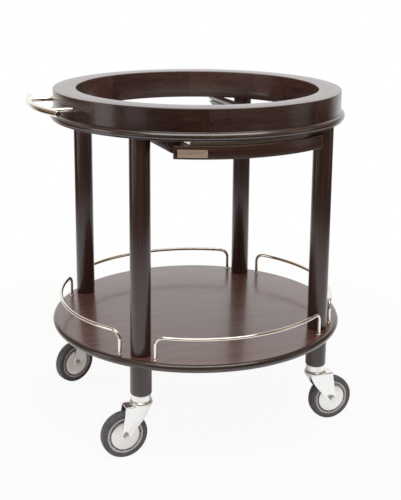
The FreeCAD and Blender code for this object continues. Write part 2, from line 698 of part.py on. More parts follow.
def tyre():
    """Tyre with a flat side wall, round shoulders and a slightly crowned tread."""
    wall = TYRE_HALF_W
    tread_r, tread_w = WHEEL_R - 0.5, TYRE_HALF_W - 6.0
    return on_axle([
        (RIM_R, 1.9 - RIM_HALF_W), (RIM_R - 1.2, 0.5 - RIM_HALF_W),
        (RIM_R + 0.2, 0.2 - wall), (RIM_R + 3.0, -wall), (WHEEL_R - 4.5, 0.8 - wall),
        ((WHEEL_R - 1.6, 2.9 - wall), (tread_r, -tread_w)), ((WHEEL_R, 0), (tread_r, tread_w)),
        ((WHEEL_R - 1.6, wall - 2.9), (WHEEL_R - 4.5, wall - 0.8)), (RIM_R + 3.0, wall),
        (RIM_R + 0.2, wall - 0.2), (RIM_R - 1.2, RIM_HALF_W - 0.5), (RIM_R, RIM_HALF_W - 1.9),
    ])


CASTER_PIECES = {
    "caster_stem": caster_stem,
    "swivel_race": swivel_race,
    "caster_fork": caster_fork,
    "axle_bolt": axle_bolt,
    "thread_guards": thread_guards,
    "wheel_hub": wheel_hub,
    "tyre": tyre,
}


# ---- assembly -----------------------------------------------------------------------------
def build():
    nodes = {
        "ring_wall": ring_wall(),
        "ring_moulding": ring_moulding(),
        "shelf": shelf(),
        "ring_studs": ring_studs(),
        "shelf_studs": shelf_studs(),
        "gallery_ferrules": gallery_ferrules(),
        "handle_bar": handle_bar(),
        "handle_stubs": handle_stubs(),
        "tray_rail_left": tray_rail(-1),
        "tray_rail_right": tray_rail(1),
        "rail_screws": rail_screws(),
        "tray_stops": tray_stops(),
        "tray_board": tray_board(),
        "tray_pan": tray_pan(),
        "tray_screws": tray_screws(),
        "front_plate": front_plate(),
        "plate_screws": plate_screws(),
    }
    for name, facing in (("front", -90), ("right", 0), ("rear", 90), ("left", 180)):
        nodes["gallery_rail_" + name] = gallery_rail(facing)
    for corner, (direction, heading) in CASTERS.items():
        nodes["post_" + corner] = post(direction)
        nodes["leg_" + corner] = leg(direction)
        for piece, make in CASTER_PIECES.items():
            solids = make()
            solids = solids if isinstance(solids, list) else [solids]
            for solid in solids:
                solid.rotate(Vector(0, 0, 0), UP, heading)
                solid.translate(polar(POST_PITCH_R, direction))
            nodes[piece + "_" + corner] = solids
    return nodes


def export(nodes):
    os.makedirs("parts", exist_ok=True)
    for name, shape in sorted(nodes.items()):
        solids = shape if isinstance(shape, list) else [shape]
        moved = [solid.translated(Vector(AXIS_X, 0, 0)) for solid in solids]
        whole = moved[0] if len(moved) == 1 else Part.makeCompound(moved)
        whole.exportStep("parts/" + name + ".step")
        print(name, "solids", len(whole.Solids), "valid", whole.isValid(),
              "volume cm3", round(whole.Volume / 1000, 2))


export(build())
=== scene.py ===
"""Studio scene of a round room service table: materials, finer shapes, light and camera.

Metres, +Z up, the floor at Z = 0, the front towards -Y and the push handle towards -X. Places
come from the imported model: the ring's axis, the heights and the caster axes are read from it.
"""

import json
import math

import bmesh
import bpy
from mathutils import Matrix, Vector


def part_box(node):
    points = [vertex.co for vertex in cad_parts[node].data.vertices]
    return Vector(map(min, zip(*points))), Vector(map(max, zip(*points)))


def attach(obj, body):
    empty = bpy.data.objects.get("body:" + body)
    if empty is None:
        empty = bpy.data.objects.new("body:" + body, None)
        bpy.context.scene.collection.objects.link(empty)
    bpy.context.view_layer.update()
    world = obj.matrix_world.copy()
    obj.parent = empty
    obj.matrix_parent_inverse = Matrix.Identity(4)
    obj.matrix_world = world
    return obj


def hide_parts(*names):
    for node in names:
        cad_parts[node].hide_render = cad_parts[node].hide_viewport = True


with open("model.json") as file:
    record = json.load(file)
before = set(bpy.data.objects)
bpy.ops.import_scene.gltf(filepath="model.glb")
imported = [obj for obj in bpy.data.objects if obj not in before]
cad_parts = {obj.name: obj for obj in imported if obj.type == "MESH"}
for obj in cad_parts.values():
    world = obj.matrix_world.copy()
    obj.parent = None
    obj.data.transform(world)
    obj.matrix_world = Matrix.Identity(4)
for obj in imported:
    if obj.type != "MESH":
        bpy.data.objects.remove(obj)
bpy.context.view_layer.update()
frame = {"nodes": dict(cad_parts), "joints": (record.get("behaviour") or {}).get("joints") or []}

MM = 0.001
CORNERS = ("front_left", "front_right", "rear_left", "rear_right")


# ---- node materials -------------------------------------------------------------------------
class Wire:
    """A node's output that takes part in arithmetic and feeds other nodes."""

    def __init__(self, tree, socket):
        self.tree = tree
        self.socket = socket

    def node(self, kind, pins=None, out=0, **settings):
        """Adds a node of any kind to the same tree. PINS maps its inputs to numbers or wires."""
        return add_node(self.tree, kind, pins, out, **settings)

    def math(self, operation, *others, clamp=False):
        pins = dict(enumerate((self,) + others))
        return self.node("ShaderNodeMath", pins, operation=operation, use_clamp=clamp)

    def __add__(self, other):
        return self.math("ADD", other)

    def __sub__(self, other):
        return self.math("SUBTRACT", other)

    def __mul__(self, other):
        return self.math("MULTIPLY", other)

    def __truediv__(self, other):
        return self.math("DIVIDE", other)

    def __pow__(self, other):
        return self.math("POWER", other)

    def __neg__(self):
        return self.math("MULTIPLY", -1.0)

    def __rsub__(self, other):
        return (-self).math("ADD", other)

    def __rtruediv__(self, other):
        return (self ** -1.0).math("MULTIPLY", other)

    __radd__ = __add__
    __rmul__ = __mul__

    def ramp(self, low, high, start=0.0, end=1.0):
        """Goes smoothly from START to END as this value goes from LOW to HIGH."""
        pins = {"Value": self, "From Min": low, "From Max": high, "To Min": start, "To Max": end}
        return self.node("ShaderNodeMapRange", pins, interpolation_type="SMOOTHSTEP")

    def mix(self, first, second):
        """Colour FIRST where this value is 0 and SECOND where it is 1."""
        pins = {0: self, 6: first, 7: second}
        return self.node("ShaderNodeMix", pins, out=2, data_type="RGBA")


def add_node(tree, kind, pins=None, out=0, **settings):
    """Adds a node, makes its settings, fills its inputs and gives the output numbered OUT."""
    made = tree.nodes.new(kind)
    for name, value in settings.items():
        setattr(made, name, value)
    for pin, value in (pins or {}).items():
        if isinstance(value, Wire):
            tree.links.new(value.socket, made.inputs[pin])
        else:
            made.inputs[pin].default_value = value
    return Wire(tree, made.outputs[out])


def split(wire):
    """The X, Y and Z of a vector."""
    parts = wire.node("ShaderNodeSeparateXYZ", {0: wire}).socket.node
    return [Wire(wire.tree, output) for output in parts.outputs]


def colour(red, green, blue):
    return (red, green, blue, 1.0)


class Surface:
    """A new material: one principled shader, its object coordinates, and the pins that feed it."""

    def __init__(self, name, **constants):
        self.material = bpy.data.materials.new(name)
        self.material.use_nodes = True
        self.tree = self.material.node_tree
        self.shader = self.tree.nodes["Principled BSDF"]
        for pin, value in constants.items():
            self.shader.inputs[pin.replace("_", " ")].default_value = value
        self.place = add_node(self.tree, "ShaderNodeTexCoord", out=3)

    def axes(self):
        return split(self.place)

    def vector(self, x, y, z):
        return self.place.node("ShaderNodeCombineXYZ", {0: x, 1: y, 2: z})

    def noise(self, vector, scale=1.0, detail=3.0, roughness=0.55, lacunarity=2.0):
        pins = {"Vector": vector, "Scale": scale, "Detail": detail, "Roughness": roughness,
                "Lacunarity": lacunarity}
        return self.place.node("ShaderNodeTexNoise", pins)

    def feed(self, **pins):
        for pin, wire in pins.items():
            self.tree.links.new(wire.socket, self.shader.inputs[pin.replace("_", " ")])
        return self

    def bump(self, height, distance, strength=1.0):
        pins = {"Height": height, "Distance": distance, "Strength": strength}
        return self.feed(Normal=self.place.node("ShaderNodeBump", pins))


WOOD_DARK = (0.026, 0.0105, 0.0090)
WOOD_RED = (0.112, 0.0450, 0.0350)
WOOD_GREY = (0.094, 0.0560, 0.0490)
PORE = (0.012, 0.0065, 0.0055)
LACQUER = {"IOR": 1.52, "Coat_Weight": 0.6, "Coat_Roughness": 0.14}
SATIN = (0.27, 0.35)               # roughness between the fibres and on them
FIBRES = (5.0, 260.0)              # noise per metre, along the grain and across it
FIGURE = (1.6, 34.0)
PORES = (28.0, 1300.0)
APART = 3.7                        # shift of the grain from one glued piece to the next
RING_SEGMENTS = 8
SHELF_EDGE_STRIPS = 6
FIRST_JOINT = math.radians(27)     # direction of one of the ring's glued joints


def wood(name, lay, tone=1.0, light=1.0, gloss=1.5):
    """Dark stained timber under satin lacquer.

    LAY turns the axes into along, across and depth, and gives each glued piece its own number.
    TONE makes the red or grey stain win over the dark one, LIGHT above 1 paints the stains paler
    as painted light, standing in for light that a part doesn't get, and GLOSS is the index of
    refraction of the lacquer.
    """
    surface = Surface(name, Coat_IOR=gloss, **LACQUER)
    along, across, depth, piece = lay(surface)
    shift = piece * APART

    def grain(scales, lift=0.0, detail=3.0):
        length, width = scales
        vector = surface.vector(along * length + shift, across * width, depth * width + lift)
        return surface.noise(vector, detail=detail)

    fibre = grain(FIBRES, detail=4.0)
    pore = grain(PORES, detail=1.0).ramp(0.60, 0.72)
    blend = (fibre * 0.5 + grain(FIGURE, piece) * 0.65 + (piece - 0.5) * 0.30 - 0.06) * tone
    # LIGHT above 1 paints the stains paler: painted light, not the timber's own colour
    dark, red, grey = (colour(*(part * light for part in stain))
                       for stain in (WOOD_DARK, WOOD_RED, WOOD_GREY))
    stained = (piece * 7.3).math("FRACT").mix(red, grey)
    tint = blend.ramp(0.22, 0.80).mix(dark, stained)
    surface.feed(Base_Color=(pore * 0.5).mix(tint, colour(*PORE)))
    surface.feed(Roughness=fibre.ramp(0.3, 0.7, *SATIN) + pore * 0.08)
    return surface.bump(fibre * 0.35 - pore * 0.65, 0.12 * MM, 0.25)


def straight(order):
    """Boards whose grain runs along the first of three axes, such as 'zxy'."""
    def lay(surface):
        axes = dict(zip("xyz", surface.axes()))
        piece = axes[order[1]] * 0.0 + 0.45
        return [axes[letter] for letter in order] + [piece]
    return lay


def bent(centre_x, radius):
    """Timber bent about the ring's axis: the grain follows the curve."""
    def lay(surface):
        x, y, z = surface.axes()
        x = x - centre_x
        across = (x * x + y * y).math("SQRT")
        return x.math("ARCTAN2", -y) * radius, across, z, z * 0.0 + 0.3
    return lay


def around(centre_x, count=RING_SEGMENTS):
    """Segments glued into a ring: the grain of each is straight, along its own chord."""
    def lay(surface):
        x, y, z = surface.axes()
        x = x - centre_x
        step = 2 * math.pi / count
        turned = y.math("ARCTAN2", x) - FIRST_JOINT
        number = (turned / step).math("FLOOR").math("WRAP", count, 0)
        chord = (number + 0.5) * step + FIRST_JOINT
        cosine, sine = chord.math("COSINE"), chord.math("SINE")
        along = y * cosine - x * sine
        across = x * cosine + y * sine
        piece = surface.place.node("ShaderNodeTexWhiteNoise", {"W": number}, noise_dimensions="1D")
        return along, across, z, piece
    return lay


def metal(name, base, roughness, scratches=0.0, **constants):
    """Plated or bare metal whose gloss varies a little, with fine scratches where asked for."""
    surface = Surface(name, **{"Metallic": 1.0, "Base_Color": colour(*base), **constants})
    smear = surface.noise(surface.place, 60.0, detail=2.0)
    gloss = smear.ramp(0.3, 0.7, roughness * 0.88, roughness * 1.12)
    if not scratches:
        return surface.feed(Roughness=gloss)
    fine = surface.noise(surface.place, 1400.0, detail=2.0)
    surface.feed(Roughness=gloss + fine * scratches)
    return surface.bump(fine, 0.03 * MM, 0.15)


def rubber(name, base, roughness):
    """Matte rubber or moulded plastic, a little uneven in colour and finely grained."""
    surface = Surface(name, IOR=1.45)
    speck = surface.noise(surface.place, 900.0, detail=2.0)
    bloom = surface.noise(surface.place, 45.0, detail=3.0)
    darker = colour(*(value * 0.78 for value in base))
    surface.feed(Base_Color=bloom.ramp(0.3, 0.7).mix(darker, colour(*base)))
    surface.feed(Roughness=speck.ramp(0.3, 0.7, roughness - 0.06, roughness + 0.06))
    return surface.bump(speck, 0.08 * MM, 0.35)


# ---- shapes ---------------------------------------------------------------------------------
def finish_mesh(name, bm, material, body, node, sharp=32.0):
    """Turns a bmesh into a piece that rides on a body and stands for a CAD node."""
    bmesh.ops.remove_doubles(bm, verts=bm.verts, dist=1e-6)
    bmesh.ops.recalc_face_normals(bm, faces=bm.faces)
    mesh = bpy.data.meshes.new(name)
    bm.to_mesh(mesh)
    bm.free()
    mesh.shade_smooth()
    mesh.set_sharp_from_angle(angle=math.radians(sharp))
    mesh.materials.append(material)
    piece = bpy.data.objects.new(name, mesh)
    bpy.context.scene.collection.objects.link(piece)
    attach(piece, body)
    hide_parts(node)
    return piece


def of_kind(kind, geometry):
    return [item for item in geometry if isinstance(item, kind)]


def arc(centre, radius, start, end, steps=6):
    """Points on an arc of a profile, from START to END degrees."""
    points = []
    for index in range(steps + 1):
        angle = math.radians(start + (end - start) * index / steps)
        points.append((centre[0] + radius * math.cos(angle), centre[1] + radius * math.sin(angle)))
    return points


def turn(bm, profile, matrix, steps, closed=True):
    """Spins a (radius, height) profile about the matrix's Z axis."""
    points = [bm.verts.new(matrix @ Vector((radius, 0, height))) for radius, height in profile]
    following = points[1:] + points[:1] if closed else points[1:]
    lines = [bm.edges.new(pair) for pair in zip(points, following)]
    axis = matrix.to_3x3() @ Vector((0, 0, 1))
    bmesh.ops.spin(bm, geom=points + lines, cent=matrix.translation, axis=axis, angle=2 * math.pi,
                   steps=steps, use_merge=True)


def round_off(bm, edges, width, segments):
    bmesh.ops.bevel(bm, geom=edges, offset=width, offset_type="OFFSET", segments=segments,
                    profile=0.5, affect="EDGES", material=-1, clamp_overlap=True)


def aimed(direction):
    """Turns a matrix so that its Z axis points along a direction."""
    return direction.to_track_quat("Z", "Y").to_matrix().to_4x4()


class Bar:
    """Round bar drawn out from its first end: straight lengths, and bends about a centre."""

    def __init__(self, bm, start, heading, radius, sides=24):
        self.bm = bm
        self.at = Vector(start)
        self.heading = Vector(heading).normalized()
        lay = Matrix.Translation(self.at) @ aimed(self.heading)
        made = bmesh.ops.create_circle(bm, cap_ends=True, radius=radius, segments=sides,
                                       matrix=lay)
        self.first = list({edge for vert in made["verts"] for edge in vert.link_edges})
        self.rim = self.first

    def straight(self, length):
        grown = bmesh.ops.extrude_edge_only(self.bm, edges=self.rim)["geom"]
        ends = of_kind(bmesh.types.BMVert, grown)
        bmesh.ops.translate(self.bm, vec=self.heading * length, verts=ends)
        self.rim = [edge for edge in of_kind(bmesh.types.BMEdge, grown)
                    if set(edge.verts) <= set(ends)]
        self.at = self.at + self.heading * length
        return self

    def bend(self, towards, radius, degrees=90.0, steps=12):
        """Bends the bar about a centre that lies in the direction TOWARDS."""
        towards = Vector(towards).normalized()
        centre = self.at + towards * radius
        axis = self.heading.cross(towards)
        ends = list({vert for edge in self.rim for vert in edge.verts})
        spun = bmesh.ops.spin(self.bm, geom=ends + self.rim, cent=centre, axis=axis,
                              angle=math.radians(degrees), steps=steps, use_merge=False)
        self.rim = of_kind(bmesh.types.BMEdge, spun["geom_last"])
        about = Matrix.Rotation(math.radians(degrees), 3, axis)
        self.at = centre + about @ (self.at - centre)
        self.heading = about @ self.heading
        return self

    def end(self, rounding=0.0):
        bmesh.ops.contextual_create(self.bm, geom=self.rim)
        if rounding:
            round_off(self.bm, self.first + self.rim, rounding, 4)
        return self


def eased(name, node, material, body, width, corner=28.0):
    """A CAD node's own shape with its sharp edges eased, as a piece that stands for it."""
    bm = bmesh.new()
    bm.from_mesh(frame["nodes"][node].data)
    bmesh.ops.remove_doubles(bm, verts=bm.verts, dist=1e-6)
    bmesh.ops.dissolve_limit(bm, angle_limit=math.radians(0.4), verts=bm.verts, edges=bm.edges,
                             use_dissolve_boundaries=False)
    sharp = [edge for edge in bm.edges if edge.is_manifold
             and edge.calc_face_angle(0.0) > math.radians(corner)]
    round_off(bm, sharp, width, 2)
    return finish_mesh(name, bm, material, body, node, sharp=40.0)


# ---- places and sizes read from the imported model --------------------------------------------
def middle(node):
    low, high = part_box(node)
    return (Vector(low) + Vector(high)) / 2


def span(node, axis="x"):
    low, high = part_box(node)
    return low["xyz".index(axis)], high["xyz".index(axis)]


def half_width(node, axis="x"):
    low, high = span(node, axis)
    return (high - low) / 2


AXIS = middle("ring_wall")
RING_R = half_width("ring_wall")
WALL_FLOOR, RING_TOP = span("ring_wall", "z")
RING_FLOOR = span("ring_moulding", "z")[0]
SHELF_FLOOR, SHELF_TOP = span("shelf", "z")
SHELF_R = half_width("shelf", "y")
RING_BORE_R = 278 * MM
MOULDING_R = 338.5 * MM
RING_STEPS = 288               # faces round the ring and the shelf
WHEEL_STEPS = 96               # and round the turned pieces of a caster


def place(radius, degrees, height):
    """A point about the ring's axis."""
    angle = math.radians(degrees)
    return Vector((AXIS.x + radius * math.cos(angle), AXIS.y + radius * math.sin(angle), height))


def on_axis(height=0.0):
    return Matrix.Translation((AXIS.x, AXIS.y, height))


# ---- finishes -------------------------------------------------------------------------------
RING_WOOD = wood("ring timber", around(AXIS.x), tone=0.95).material
NOSING_WOOD = wood("nosing timber", around(AXIS.x), tone=0.85, gloss=2.0).material
EDGE_WOOD = wood("shelf edge", around(AXIS.x, SHELF_EDGE_STRIPS), tone=0.6, gloss=1.7).material
# Shelf stains painted paler (LIGHT 1.75 and a higher TONE): painted light, standing in for the
# light that the ring and tray keep off the shelf
SHELF_WOOD = wood("shelf veneer with painted light", straight("xyz"), tone=1.3, light=1.75).material
POST_WOOD = wood("post timber", straight("zxy"), tone=0.85).material
RAIL_WOOD = wood("rail timber", straight("yxz")).material
BOARD_WOOD = wood("tray front timber", bent(AXIS.x, RING_R)).material
NICKEL = metal("polished nickel", (0.86, 0.81, 0.74), 0.08).material
ZINC = metal("bright zinc", (0.92, 0.92, 0.91), 0.26).material
COVER = metal("pressed sheet", (0.87, 0.86, 0.83), 0.34, 0.04).material
STAINLESS = metal("satin stainless", (0.80, 0.76, 0.71), 0.55, 0.06, Metallic=0.5).material
PLATE = metal("warm nickel plate", (0.60, 0.48, 0.39), 0.42, 0.05, Metallic=0.55).material
PIN = metal("bright pins", (0.88, 0.86, 0.82), 0.22).material
BOLT = metal("fastener steel", (0.78, 0.79, 0.80), 0.30, 0.05).material
TYRE = rubber("grey tyre rubber", (0.150, 0.155, 0.178), 0.50).material
HUB = rubber("pale hub plastic", (0.80, 0.81, 0.90), 0.40).material

for name, node in frame["nodes"].items():
    if name.startswith("tray_rail"):
        finish = RAIL_WOOD
    elif name.startswith(("post", "leg")):
        finish = POST_WOOD
    elif name.startswith(("ring_wall", "ring_moulding", "tray_board")):
        finish = RING_WOOD
    elif name == "shelf":
        finish = SHELF_WOOD
    elif name.startswith(("gallery", "handle")):
        finish = NICKEL
    elif name.startswith("tyre"):
        finish = TYRE
    elif name.startswith("wheel_hub"):
        finish = HUB
    elif name == "tray_pan":
        finish = STAINLESS
    elif name == "front_plate":
        finish = PLATE
    elif name == "plate_screws":
        finish = PIN
    elif name.startswith("thread"):
        finish = COVER
    elif name.startswith(("caster", "swivel")):
        finish = ZINC
    else:
        finish = BOLT
    node.data.materials.clear()
    node.data.materials.append(finish)


# ---- the ring, its moulding, posts, shelf and legs ------------------------------------------
def ring_wall():
    edge = 2 * MM
    joint = 0.5 * MM
    profile = [(RING_BORE_R, WALL_FLOOR), (RING_R - joint, WALL_FLOOR),
               (RING_R, WALL_FLOOR + joint)]
    profile += arc((RING_R - edge, RING_TOP - edge), edge, 0, 90)
    profile += arc((RING_BORE_R + edge, RING_TOP - edge), edge, 90, 180)
    bm = bmesh.new()
    turn(bm, profile, on_axis(), steps=RING_STEPS)
    finish_mesh("ring_upper_course", bm, RING_WOOD, "table", "ring_wall")


def ring_moulding():
    """Lower course: a flat band, a quirk and a broad rounded nosing up to the wall."""
    nose_r, nose_height = 9 * MM, 8.5 * MM
    band_r = MOULDING_R - 3.5 * MM
    band_top = RING_FLOOR + 3.8 * MM
    edge = 1.0 * MM
    quirk = 0.5 * MM
    profile = [(RING_BORE_R, RING_FLOOR)]
    profile += arc((band_r - edge, RING_FLOOR + edge), edge, -90, 0, 4)
    profile += arc((band_r - quirk, band_top - quirk), quirk, 0, 60, 2)
    profile += arc((MOULDING_R - nose_r, RING_FLOOR + nose_height), nose_r, -29, 85, 20)
    profile += [(RING_R, WALL_FLOOR - 0.1 * MM), (RING_R - 0.4 * MM, WALL_FLOOR),
                (RING_BORE_R, WALL_FLOOR)]
    bm = bmesh.new()
    turn(bm, profile, on_axis(), steps=RING_STEPS)
    finish_mesh("ring_nosing", bm, NOSING_WOOD, "table", "ring_moulding", sharp=40)


def shelf():
    edge = (SHELF_TOP - SHELF_FLOOR) / 2
    profile = [(0, SHELF_FLOOR)]
    profile += arc((SHELF_R - edge, SHELF_FLOOR + edge), edge, -90, 90, 20)
    profile += [(0, SHELF_TOP)]
    bm = bmesh.new()
    turn(bm, profile, on_axis(), steps=RING_STEPS, closed=False)
    piece = finish_mesh("round_shelf", bm, SHELF_WOOD, "table", "shelf")
    piece.data.materials.append(EDGE_WOOD)
    for face in piece.data.polygons:
        centre = face.center - AXIS
        if math.hypot(centre.x, centre.y) > SHELF_R - edge:
            face.material_index = 1


def turned_post(name, node, profile, steps=72):
    centre = middle(node)
    bm = bmesh.new()
    turn(bm, profile, Matrix.Translation((centre.x, centre.y, 0)), steps=steps, closed=False)
    finish_mesh(name, bm, POST_WOOD, "table", node)


def posts_and_legs():
    for corner in CORNERS:
        radius = half_width("post_" + corner)
        edge = 1.2 * MM
        profile = [(0, SHELF_TOP), (radius - edge, SHELF_TOP)]
        profile += arc((radius - edge, SHELF_TOP + edge), edge, -90, 0, 3)
        profile += arc((radius - edge, RING_FLOOR - edge), edge, 0, 90, 3)
        profile += [(0, RING_FLOOR)]
        turned_post("turned_post_" + corner, "post_" + corner, profile)

        foot = span("leg_" + corner, "z")[0]
        radius = half_width("leg_" + corner)
        edge, joint = 3 * MM, 0.6 * MM
        profile = [(0, foot), (radius - edge, foot)]
        profile += arc((radius - edge, foot + edge), edge, -90, 0)
        profile += [(radius, SHELF_FLOOR - joint), (radius - joint, SHELF_FLOOR),
                    (0, SHELF_FLOOR)]
        turned_post("turned_leg_" + corner, "leg_" + corner, profile)


# ---- gallery rails and push handle ----------------------------------------------------------
ROD_R = 4 * MM
GALLERY_R = 322 * MM
GALLERY_RISE = 51 * MM
GALLERY_BEND_R = 19 * MM
GALLERY_HALF_ANGLE = 34.1
FOOT_DEPTH = 4 * MM        # how far a rod goes into the shelf
FACINGS = {"front": -90, "right": 0, "rear": 90, "left": 180}


def gallery():
    up = Vector((0, 0, 1))
    rise = GALLERY_RISE - GALLERY_BEND_R
    collars = bmesh.new()
    ferrule = [(ROD_R, 0)] + arc((ROD_R + 1.2 * MM, 0.7 * MM), 0.7 * MM, -80, 80, 8)
    ferrule += arc((ROD_R + 0.2 * MM, 1.6 * MM), 0.8 * MM, 0, 90, 4) + [(ROD_R, 2.4 * MM)]
    for name, facing_way in FACINGS.items():
        angle = facing_way - GALLERY_HALF_ANGLE
        along = place(1, angle + 90, 0) - place(0, 0, 0)
        first = place(GALLERY_R, angle, SHELF_TOP) - along * GALLERY_BEND_R
        bm = bmesh.new()
        rod = Bar(bm, first - up * FOOT_DEPTH, up, ROD_R).straight(FOOT_DEPTH + rise)
        rod.bend(along, GALLERY_BEND_R)
        rod.bend(on_axis(rod.at.z).translation - rod.at, GALLERY_R, 2 * GALLERY_HALF_ANGLE, 60)
        rod.bend(-up, GALLERY_BEND_R).straight(FOOT_DEPTH + rise).end()
        finish_mesh("rod_" + name, bm, NICKEL, "table", "gallery_rail_" + name,
                    sharp=60)
        for foot in (first, rod.at):
            turn(collars, ferrule, Matrix.Translation((foot.x, foot.y, SHELF_TOP)), steps=40)
    finish_mesh("rod_ferrules", collars, NICKEL, "table", "gallery_ferrules")


HANDLE_R = 7 * MM
HANDLE_PLAN_R = 385 * MM
HANDLE_HALF_ANGLE = 20.0
HANDLE_END = 1.6 * MM      # rounding of the bar's ends
STUB_R = 5 * MM


def handle():
    height = middle("handle_bar").z
    start = place(HANDLE_PLAN_R, 180 - HANDLE_HALF_ANGLE, height)
    along = place(1, 270 - HANDLE_HALF_ANGLE, 0) - place(0, 0, 0)
    bm = bmesh.new()
    inwards = on_axis(height).translation - start
    bar = Bar(bm, start, along, HANDLE_R, sides=32)
    bar.bend(inwards, HANDLE_PLAN_R, 2 * HANDLE_HALF_ANGLE, steps=48).end(HANDLE_END)
    finish_mesh("push_bar", bm, NICKEL, "table", "handle_bar", sharp=50)

    low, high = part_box("handle_stubs")
    bm = bmesh.new()
    for y in (low.y + STUB_R, high.y - STUB_R):
        bar_x = AXIS.x - math.sqrt(HANDLE_PLAN_R ** 2 - y ** 2) + HANDLE_R * 0.6
        Bar(bm, (bar_x, y, height), (1, 0, 0), STUB_R, sides=28).straight(high.x - bar_x).end()
    finish_mesh("push_bar_stubs", bm, NICKEL, "table", "handle_stubs")


# ---- pull-out tray --------------------------------------------------------------------------
BOARD_R = 336.5 * MM
BOARD_T = 18 * MM
BOARD_HALF_ANGLE = 30.3
BOARD_EDGE = 1.2 * MM


def tray_front():
    """Board bent to the ring's curve, with its long edges and its ends eased."""
    low, high = span("tray_board", "z")
    inner = BOARD_R - BOARD_T + BOARD_EDGE
    outer = BOARD_R - BOARD_EDGE
    low, high = low + BOARD_EDGE, high - BOARD_EDGE
    profile = []
    for centre, start in (((inner, low), 180), ((outer, low), 270), ((outer, high), 0),
                          ((inner, high), 90)):
        profile += arc(centre, BOARD_EDGE, start, start + 90, 3)
    lay = on_axis() @ Matrix.Rotation(math.radians(-90 - BOARD_HALF_ANGLE), 4, "Z")
    bm = bmesh.new()
    points = [bm.verts.new(lay @ Vector((radius, 0, height))) for radius, height in profile]
    first = [bm.edges.new(pair) for pair in zip(points, points[1:] + points[:1])]
    spun = bmesh.ops.spin(bm, geom=points + first, cent=AXIS, axis=(0, 0, 1), steps=96,
                          angle=math.radians(2 * BOARD_HALF_ANGLE), use_merge=False)
    last = of_kind(bmesh.types.BMEdge, spun["geom_last"])
    for rim in (first, last):
        bmesh.ops.contextual_create(bm, geom=rim)
    round_off(bm, first + last, 0.5 * MM, 2)
    finish_mesh("tray_front", bm, BOARD_WOOD, "tray", "tray_board", sharp=40)


def tray():
    tray_front()
    for side in ("left", "right"):
        eased("grooved_rail_" + side, "tray_rail_" + side, RAIL_WOOD, "table",
              0.7 * MM)
    eased("steel_tray", "tray_pan", STAINLESS, "tray", 0.3 * MM, corner=50.0)
    eased("bare_plate", "front_plate", PLATE, "tray", 0.3 * MM)
    eased("plate_pins", "plate_screws", PIN, "tray", 0.15 * MM)


# ---- casters --------------------------------------------------------------------------------
JOINTS = {joint["name"]: joint for joint in frame["joints"]}
WHEEL_R, RIM_R, COVER_R = 52.0, 41.6, 32.1      # wheel outlines are in millimetres


def caster_places(corner):
    """Matrices of the swivel axis, X along the trail, and of the axle, Z along the axle."""
    pivot = Vector(JOINTS["swivel_" + corner]["pos_m"])
    axle = Vector(JOINTS["roll_" + corner]["pos_m"])
    trail = axle - pivot
    heading = math.atan2(trail.y, trail.x)
    swivel = Matrix.Translation((pivot.x, pivot.y, 0)) @ Matrix.Rotation(heading, 4, "Z")
    reach = math.hypot(trail.x, trail.y)
    wheel = swivel @ Matrix.Translation((reach, 0, axle.z)) @ Matrix.Rotation(-math.pi / 2, 4, "X")
    return swivel, wheel


def mirrored(half):
    """Closed outline in metres from its points on one side of the wheel's middle plane."""
    return [(radius * MM, width * MM) for radius, width in half] + [
        (radius * MM, -width * MM) for radius, width in reversed(half)]


def tyre_outline():
    """Round shoulders, a slightly sunk side wall and a lip that holds the rim."""
    wall = 10.95
    points = [(RIM_R, -8.6), (RIM_R - 1.1, -10.0), (RIM_R - 0.7, -10.7), (RIM_R + 0.2, -wall),
              (RIM_R + 1.6, 0.15 - wall), (RIM_R + 3.4, -wall)]
    points += arc((WHEEL_R - 5.4, 5.05 - wall), 5.05, -90, -22, 8)
    points += [(WHEEL_R - 0.25, -2.4), (WHEEL_R - 0.02, -0.8)]
    return mirrored(points)


def hub_outline():
    points = [(4.06, -11.4), (9.0, -11.4), (9.6, -9.0), (12.5, -5.0), (14.0, -3.0)]
    rim = [(8.0, 3.0), (6.1, 5.0), (5.7, 9.7), (5.3, 10.3), (4.4, 10.5), (2.8, 10.5), (1.8, 10.3),
           (1.1, 9.8), (0.1, 8.6)]
    return mirrored(points + [(RIM_R - inside, -width) for inside, width in rim])


def cover_outline(side):
    """Dished sheet disc beside the hub, with a turned edge."""
    outer = [(4.05, 13.0), (10.4, 13.0), (11.6, 12.9), (COVER_R - 3.0, 11.6),
             (COVER_R - 1.2, 11.0), (COVER_R, 10.3), (COVER_R, 9.5)]
    inner = [(COVER_R - 0.8, 9.5), (COVER_R - 2.2, 10.5), (11.4, 11.9), (4.05, 12.0)]
    return [(radius * MM, side * width * MM) for radius, width in outer + inner]


def race_outline(corner):
    """Dished cup between the collar and the fork, round the kingpin."""
    foot, top = span("swivel_race_" + corner, "z")
    race_r = half_width("swivel_race_" + corner)
    bore_r, lip, dish = 6.05 * MM, 1.5 * MM, 5 * MM
    profile = [(bore_r, foot)] + arc((race_r - lip, foot + lip), lip, -90, 0, 5)
    profile += arc((race_r - dish, foot + 2.2 * MM), dish, 0, 56, 8)
    return profile + [(race_r - 4.2 * MM, top), (bore_r, top)]


